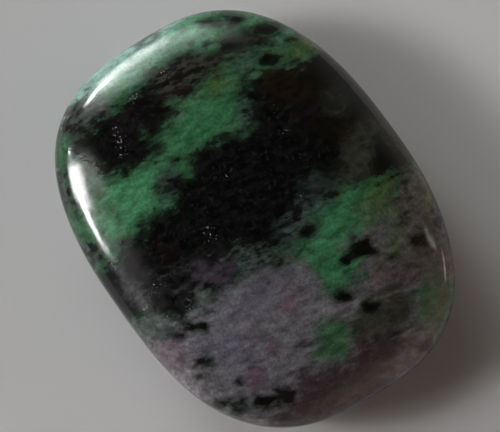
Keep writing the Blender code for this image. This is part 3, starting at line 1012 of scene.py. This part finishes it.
def soften_lamp(lamp, strength):
    """Makes the lamp's face brightest in the middle, fading towards its edges."""
    lamp.use_nodes = True
    tree = lamp.node_tree
    across = add(tree, "NewGeometry").outputs["Parametric"]
    parts = add(tree, "SeparateXYZ", {0: across})
    fade = None
    for part in (parts.outputs[0], parts.outputs[1]):
        off_middle = calculate(tree, "ABSOLUTE", calculate(tree, "SUBTRACT", part, 0.5))
        share = remap(tree, off_middle, LAMP_DARK, LAMP_FULL)
        fade = share if fade is None else calculate(tree, "MULTIPLY", fade, share)
    emission = tree.nodes["Emission"]
    tree.links.new(calculate(tree, "MULTIPLY", fade, strength), emission.inputs["Strength"])


def make_lamps(stage):
    right, up = picture_axes(stage)
    for name, azimuth, elevation, wide, high, lean, share, colour in LAMPS:
        around, rise = math.radians(azimuth), math.radians(elevation)
        level = math.cos(around) * right + math.sin(around) * up
        towards = math.cos(rise) * level + math.sin(rise) * Vector((0, 0, 1))
        lamp = bpy.data.lights.new(name, "AREA")
        lamp.shape = "RECTANGLE"
        lamp.size = 2 * LAMP_DISTANCE * math.tan(math.radians(wide) / 2)
        lamp.size_y = 2 * LAMP_DISTANCE * math.tan(math.radians(high) / 2)
        lamp.color = colour
        lamp.energy = lamp.size * lamp.size_y * math.pi  # so that its brightness is its node's strength
        soften_lamp(lamp, stage.lamp_strength * share)
        holder = bpy.data.objects.new(name, lamp)
        holder.location = NODE_MIDDLE + LAMP_DISTANCE * towards
        turn = towards.to_track_quat("Z", "Y") @ Quaternion((0, 0, 1), math.radians(lean))
        holder.rotation_euler = turn.to_euler()
        bpy.context.scene.collection.objects.link(holder)


def make_world(stage):
    """A dim room: dark overhead, with paler walls that are warmer on the picture's right."""
    right, up = picture_axes(stage)
    world = bpy.data.worlds.new("dim_room")
    world.use_nodes = True
    tree = world.node_tree
    direction = add(tree, "TexCoord").outputs["Generated"]
    height = add(tree, "SeparateXYZ", {0: direction}).outputs[2]
    wall = remap(tree, height, math.sin(WALL_TOP), 0.0)
    warm_side = (right - WARM_DROP * up).normalized()
    facing = add(tree, "VectorMath", {0: direction, 1: warm_side}, operation="DOT_PRODUCT")
    warmth = remap(tree, facing.outputs["Value"], WARM_FROM, WARM_FULL)
    wall_colour = blend(tree, warmth, solid(WALL), solid(WARM_WALL))
    colour = blend(tree, wall, solid(ROOF), wall_colour)
    background = tree.nodes["Background"]
    tree.links.new(colour, background.inputs["Color"])
    background.inputs["Strength"].default_value = stage.room_strength
    bpy.context.scene.world = world


def make_camera(stage):
    """Looks down on the stone, with its long axis sloping down to the right."""
    right, flat_up = picture_axes(stage)
    above = Vector((0, 0, 1))
    back = math.cos(stage.camera_tilt) * above - math.sin(stage.camera_tilt) * flat_up
    up = math.cos(stage.camera_tilt) * flat_up + math.sin(stage.camera_tilt) * above
    off_right = (STONE_CENTRE_PX[0] - FRAME_WIDTH_PX / 2) / PIXELS_PER_MM / MM
    off_down = (STONE_CENTRE_PX[1] - FRAME_HEIGHT_PX / 2) / PIXELS_PER_MM / MM
    target = NODE_MIDDLE - off_right * right + off_down * up
    lens = bpy.data.cameras.new("camera")
    lens.sensor_width = SENSOR_WIDTH_MM
    lens.lens = lens.sensor_width * stage.camera_distance * PIXELS_PER_MM * MM / FRAME_WIDTH_PX
    lens.clip_start = CAMERA_CLEARANCE
    camera = bpy.data.objects.new("camera", lens)
    camera.matrix_world = Matrix.Translation(target + stage.camera_distance * back) @ Matrix(
        (right, up, back)
    ).transposed().to_4x4()
    bpy.context.scene.collection.objects.link(camera)
    bpy.context.scene.camera = camera


class STONE_OT_stage(bpy.types.Operator):
    """Set out the floor, the lamps, the dim room and the camera"""

    bl_idname = "stone.stage"
    bl_label = "Make Stage"

    def execute(self, context):
        stage = context.scene.stage_settings
        make_floor(stage)
        make_lamps(stage)
        make_world(stage)
        make_camera(stage)
        context.scene.view_settings.view_transform = "Standard"
        return {"FINISHED"}


class STONE_PT_panel(bpy.types.Panel):
    """Lists the stone's settings and steps"""

    bl_idname = "STONE_PT_panel"
    bl_label = "Ruby in Zoisite Stone"
    bl_space_type = "VIEW_3D"
    bl_region_type = "UI"
    bl_category = "Stone"

    def draw(self, context):
        for settings in (context.scene.stone_settings, context.scene.stage_settings):
            column = self.layout.column()
            for name in settings.__annotations__:
                column.prop(settings, name)
        self.layout.operator(STONE_OT_pebble.bl_idname)
        self.layout.operator(STONE_OT_stage.bl_idname)


CLASSES = (StoneSettings, StageSettings, STONE_OT_pebble, STONE_OT_stage, STONE_PT_panel)


def register():
    for item in CLASSES:
        bpy.utils.register_class(item)
    bpy.types.Scene.stone_settings = PointerProperty(type=StoneSettings)
    bpy.types.Scene.stage_settings = PointerProperty(type=StageSettings)


def unregister():
    del bpy.types.Scene.stage_settings
    del bpy.types.Scene.stone_settings
    for item in reversed(CLASSES):
        bpy.utils.unregister_class(item)


def main():
    """Registers the classes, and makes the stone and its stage."""
    register()
    bpy.ops.stone.pebble()
    bpy.ops.stone.stage()


if __name__ == "__main__":
    main()
